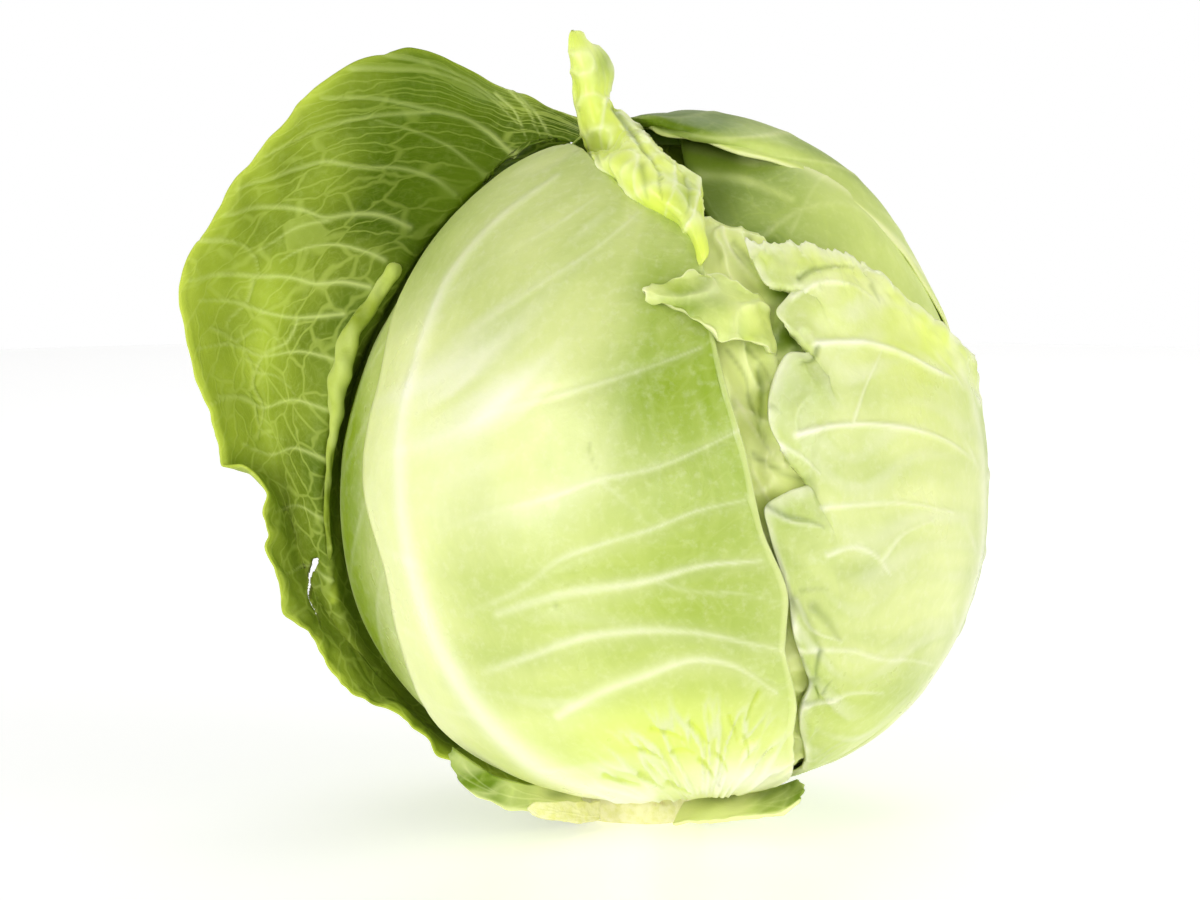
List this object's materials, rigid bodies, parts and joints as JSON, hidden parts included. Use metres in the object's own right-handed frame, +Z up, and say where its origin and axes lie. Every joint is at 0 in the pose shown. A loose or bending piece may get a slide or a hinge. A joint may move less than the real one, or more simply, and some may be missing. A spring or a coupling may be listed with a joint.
{
  "type": "cabbage head",
  "caption": "Cut green cabbage head with pale wrapper leaves, a flared dark outer leaf and a short cut stump that it stands on",
  "frame": {"origin": "centre of the stump's flat cut foot, on the surface that the head stands on", "axes": "+Z up through the stump, -Y towards the front with the pale front leaf, +X to the right as seen from the front"},
  "size_m": [0.2172, 0.1694, 0.2088],
  "materials": {
    "pale_leaf": "waxy leaf, half gloss, white ribs",
    "green_leaf": "waxy leaf, half gloss",
    "dark_leaf": "waxy leaf with a pale net of veins",
    "inner_leaf": "smooth inner leaf, half gloss",
    "cut_flesh": "cut stump, moist, browning at the rim"
  },
  "bodies": {
    "root": {"heart": "inner_leaf", "stem": "cut_flesh", "leaf_front": "pale_leaf", "leaf_right": "pale_leaf", "leaf_right_upper": "green_leaf", "leaf_top_back": "green_leaf", "leaf_left_inner": "pale_leaf", "leaf_valley": "green_leaf", "leaf_back": "green_leaf", "leaf_outer": "dark_leaf", "leaf_outer_back": "dark_leaf", "stub_left": "green_leaf", "stub_front": "cut_flesh", "stub_right": "green_leaf"}
  },
  "joints": []
}
